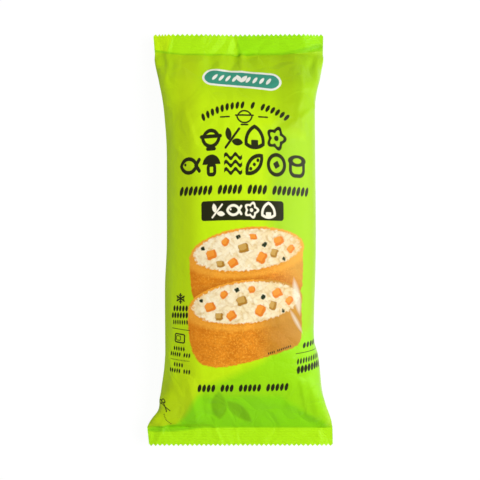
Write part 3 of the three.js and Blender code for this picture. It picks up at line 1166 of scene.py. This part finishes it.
def dice(local, places, share, lift):
    """Dice at a share of their size, and lifted by a share of it."""
    return joined(*[
        box(local, (x - lift * size, y + lift * size), share * size, share * size * 0.8,
            share * size * 0.2, turn)
        for x, y, size, turn in places
    ])


def pocket_wall(place, local, behind, in_lower):
    """The skin of both pockets. `behind` is how far a place is from the lower one."""
    shadow = ramp(behind, 4.0, 0.0) * (1 - in_lower)
    rim = line(oval(local, RIM_MIDDLE, *RIM_SIZE, POCKET_TURN), 3.2)
    return layered(
        tofu_skin(place, local),
        (TOFU_SHADE, shadow * 0.5),
        (TOFU_LIGHT, covered(rim, 2.0) * 0.5),
        (TOFU_END_SHADE, in_lower * ramp(local.x, 4, 16) * 0.7),
    )


def pictured_food(place, colour):
    """Two stuffed tofu pockets, one in front of the other, laid over the colour."""
    ragged = shaken(place, *RAGGED)
    upper = ragged - UPPER_POCKET
    upper_shape = pocket_shape(upper)
    lower_shape = pocket_shape(ragged - LOWER_POCKET)
    in_lower = calculated("LESS_THAN", lower_shape, 0)
    shift = [a - b for a, b in zip(UPPER_POCKET, LOWER_POCKET)]
    local = moved("MULTIPLY_ADD", in_lower, (*shift, 0), upper)
    bites = (noise(place, RICE_RAGGED) - 0.5) * RICE_RAGGED
    rice = oval(local, (0, 0), *RICE_SIZE, POCKET_TURN) + bites
    food = pocket_wall(place, local, lower_shape, in_lower)
    food = painted(food, grains_of_rice(place, local), covered(rice, 0.6))
    for shaded, lit, places in DICE:
        food = painted(food, shaded, covered(dice(local, places, 1.0, 0), 0.5))
        food = painted(food, lit, covered(dice(local, places, *DICE_TOP), 0.5))
    return painted(colour, food, covered(joined(upper_shape, lower_shape), 0.5))


# ---- The film's material ----

# painted highlights: whitish streaks where the film right of the lower pocket mirrors the light
SHEEN_STREAKS = [((35.4, -33.4), 21, 4.4, 100), ((34.8, -48), 14, 1.8, -60)]
FILM_ROUGHNESS = (0.30, 0.42)  # it varies from the one to the other
GLOSS_PATCH = 12.0  # how wide a duller or a glossier patch is
FILM_SPECULAR = 0.2
FINE_DENTS = (1.2, 0.05)  # how wide and how high, in mm
SOFT_DENTS = (9.0, 0.35)
CREASES = (18.0, 2.0)  # of the crumpled film, most of them near the pack's ends


def front_print(place):
    colour = painted(ground(place), LEAF_SHADOW, covered(bottom_leaves(place), 1.6))
    # painted highlights on the film
    sheen = [(SHEEN, covered(leaf(place, *streak), 1.8) * 0.55) for streak in SHEEN_STREAKS]
    border, inner, grains = badge(place)
    return layered(
        pictured_food(place, colour),
        *sheen,
        (WHITE, covered(border)),
        (TEAL, covered(inner)),
        (WHITE, covered(grains)),
        (INK, covered(black_print(place))),
        (CREAM, covered(plate_print(place))),
    )


def dents(place):
    """The height of the film's crumpling, in mm."""
    (fine, fine_high), (soft, soft_high), (wide, high) = FINE_DENTS, SOFT_DENTS, CREASES
    creases = joined(*[abs(noise(place.turned(turn), wide, 0) - 0.5) for turn in (0, 70)])
    crumpled = ramp(abs(place.y), 40, 100) * 0.7 + 0.3
    smooth_dents = noise(place, soft) * soft_high + noise(place, fine) * fine_high
    return smooth_dents + creases * crumpled * high


def film_material(name, paint):
    """Satin plastic film, printed on its inside, with a colour for each place."""
    material = bpy.data.materials.new(name)
    material.use_nodes = True
    tree = material.node_tree
    shader = tree.nodes["Principled BSDF"]
    film_map = tree.nodes.new("ShaderNodeUVMap")
    film_map.uv_map = "film"
    place = Place(film_map.outputs[0])
    tree.links.new(paint(place).socket, shader.inputs["Base Color"])
    shader.inputs["Specular IOR Level"].default_value = FILM_SPECULAR
    low, high = FILM_ROUGHNESS
    gloss = noise(place, GLOSS_PATCH) * (high - low) + low
    tree.links.new(gloss.socket, shader.inputs["Roughness"])
    bump = tree.nodes.new("ShaderNodeBump")
    bump.inputs["Distance"].default_value = MM
    tree.links.new(dents(place).socket, bump.inputs["Height"])
    tree.links.new(bump.outputs[0], shader.inputs["Normal"])
    return material


# ---- Floor, light and camera ----

FLOOR_GLOW = 0.95
FLOOR_GREY = (0.06, 0.06, 0.06, 1)
FLOOR_SIZE, MIRRORED_SIZE = 8.0, 4.0  # in m, as are the lights' and the camera's places
FLOOR_GAP = 0.0001  # from the pack down to the mirrored floor, and on to the floor
MIRRORED_FROM = 0.03  # x where the mirrored floor begins


def flat_square(name, size, middle_x, z):
    mesh = bpy.data.meshes.new(name)
    h = size / 2
    mesh.from_pydata([(-h, -h, z), (h, -h, z), (h, h, z), (-h, h, z)], [], [(0, 1, 2, 3)])
    return placed(name, mesh, (middle_x, 0, 0))


def pale_floor():
    """A white light table with faint shadows. The film mirrors only its right side."""
    paint = bpy.data.materials.new("floor")
    paint.use_nodes = True
    inputs = paint.node_tree.nodes["Principled BSDF"].inputs
    inputs["Base Color"].default_value = FLOOR_GREY
    inputs["Emission Color"].default_value = (1, 1, 1, 1)
    inputs["Emission Strength"].default_value = FLOOR_GLOW
    inputs["Roughness"].default_value = 0.9
    floor = flat_square("floor", FLOOR_SIZE, 0, -2 * FLOOR_GAP)
    floor.visible_glossy = False
    middle_x = MIRRORED_FROM + MIRRORED_SIZE / 2
    mirrored = flat_square("mirrored floor", MIRRORED_SIZE, middle_x, -FLOOR_GAP)
    mirrored.visible_camera = mirrored.visible_diffuse = mirrored.visible_shadow = False
    for table in (floor, mirrored):
        table.data.materials.append(paint)


PACK_MIDDLE = (0, 0, 0.02)


def area_light(name, place, width, height, radiance):
    """A soft rectangle of light, in m, aimed at the middle of the pack."""
    data = bpy.data.lights.new(name, "AREA")
    data.shape = "RECTANGLE"
    data.size, data.size_y = width, height
    data.energy = radiance * math.pi * width * height
    made = placed(name, data, place)
    aim = Vector(PACK_MIDDLE) - Vector(place)
    made.rotation_euler = aim.to_track_quat("-Z", "Y").to_euler()
    return made


def studio_lights():
    """A key light and a fill that the film doesn't mirror, and two that it only mirrors."""
    area_light("key", (0.6, 0.0, 1.04), 0.6, 0.6, 12.0).visible_glossy = False
    area_light("left fill", (-1.0, 0.0, 0.1), 0.3, 1.2, 1.2).visible_glossy = False
    area_light("gloss", (1.1, 0.0, 0.64), 0.5, 1.6, 3.0).visible_diffuse = False
    area_light("rim gloss", (1.0, 0.0, 0.2), 0.5, 1.6, 1.0).visible_diffuse = False


AMBIENT = (0.30, 0.30, 0.30, 1)
MIRRORED = (0.06, 0.06, 0.06, 1)
BACKDROP = (1, 1, 1, 1)


def studio_world():
    """An even glow, dimmer in reflections, with a white backdrop for the camera."""
    world = bpy.data.worlds.new("studio")
    world.use_nodes = True
    nodes, links = world.node_tree.nodes, world.node_tree.links
    paths = nodes.new("ShaderNodeLightPath")
    colour = AMBIENT
    for ray, glow in (("Is Glossy Ray", MIRRORED), ("Is Camera Ray", BACKDROP)):
        colour = painted(colour, glow, Value(paths.outputs[ray]))
    links.new(colour.socket, nodes["Background"].inputs["Color"])
    bpy.context.scene.world = world
    world.cycles.sampling_method = "NONE"  # so that each ray sees its own colour


CAMERA_HEIGHT = 1.0
FOCUS_HEIGHT = 0.015  # where the photo's scale holds: the seals
SENSOR = 36.0  # mm
PHOTO_PIXELS = 480  # the photo's width
PACK_PIXELS = 411.5  # the pack's length in the photo
VIEW_WIDTH = PHOTO_PIXELS / PACK_PIXELS * 2 * SEAL_END * MM


def camera_above():
    data = bpy.data.cameras.new("camera")
    data.sensor_width = SENSOR
    data.lens = SENSOR * (CAMERA_HEIGHT - FOCUS_HEIGHT) / VIEW_WIDTH
    bpy.context.scene.camera = placed("camera", data, (0, 0, CAMERA_HEIGHT))


# ---- The scene ----

rings, ring_v = pack_rings()
film, seam = film_pack(rings, ring_v), back_seam(rings, ring_v)
for piece, paint in ((film, front_print), (seam, ground)):
    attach(piece, "root")
    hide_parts("pouch")
    piece.data.materials.append(film_material(piece.name, paint))

pale_floor()
studio_lights()
studio_world()
camera_above()
bpy.context.scene.view_settings.view_transform = "Standard"
